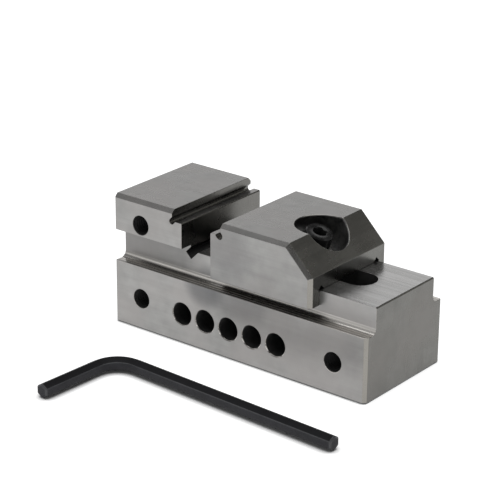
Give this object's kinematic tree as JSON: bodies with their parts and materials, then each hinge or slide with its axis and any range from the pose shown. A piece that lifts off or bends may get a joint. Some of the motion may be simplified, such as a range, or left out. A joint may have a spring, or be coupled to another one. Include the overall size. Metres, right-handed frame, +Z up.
{
  "type": "screwless vise",
  "caption": "Small ground steel toolmaker's vise with a sliding jaw, pulled down and tight by a slanted socket screw, with its hex key.",
  "frame": {"origin": "centre of the base's bottom face, on the surface that the vise stands on", "axes": "+X along the rail from the fixed jaw to the open end, +Y away from the front side where the hex key lies, +Z up"},
  "size_m": [0.1045, 0.0931, 0.0422],
  "materials": {
    "ground_steel": "fine ground",
    "turned_steel": "turned",
    "black_steel": "black oxide",
    "black_rubber": "matte"
  },
  "bodies": {
    "base": {"base_body": "ground_steel"},
    "jaw": {"movable_jaw": "ground_steel"},
    "washer": {"ball_washer": "turned_steel"},
    "screw": {"clamp_screw": "black_steel", "keeper_ring": "black_rubber"},
    "nut": {"cross_nut": "turned_steel"},
    "key": {"hex_key": "black_steel"}
  },
  "joints": [
    {"name": "jaw_slide", "type": "slide", "parent": "base", "child": "jaw", "axis": [1, 0, 0], "range_m": [-0.0044, 0.0044]},
    {"name": "washer_swivel", "type": "hinge", "parent": "jaw", "child": "washer", "pos_m": [0.0154, 0, 0.0371], "axis": [0, 1, 0], "range_deg": [-8.32, 8.32]},
    {"name": "screw_turn", "type": "hinge", "parent": "washer", "child": "screw", "pos_m": [0.0154, 0, 0.0371], "axis": [0.3249, 0, 0.9457], "range_deg": [-639, 639]},
    {"name": "nut_turn", "type": "hinge", "parent": "base", "child": "nut", "pos_m": [0.0059, 0, 0.00945], "axis": [0, 1, 0], "range_deg": [-8.32, 8.32]},
    {"name": "key_lift", "type": "slide", "parent": "base", "child": "key", "axis": [0, 0, 1], "range_m": [0, 0.1]}
  ],
  "couplings": [
    {"joint": "washer_swivel", "follows": "jaw_slide", "rad_per_m": 32.206},
    {"joint": "screw_turn", "follows": "jaw_slide", "rad_per_m": 2526.5},
    {"joint": "nut_turn", "follows": "jaw_slide", "rad_per_m": 32.206}
  ]
}
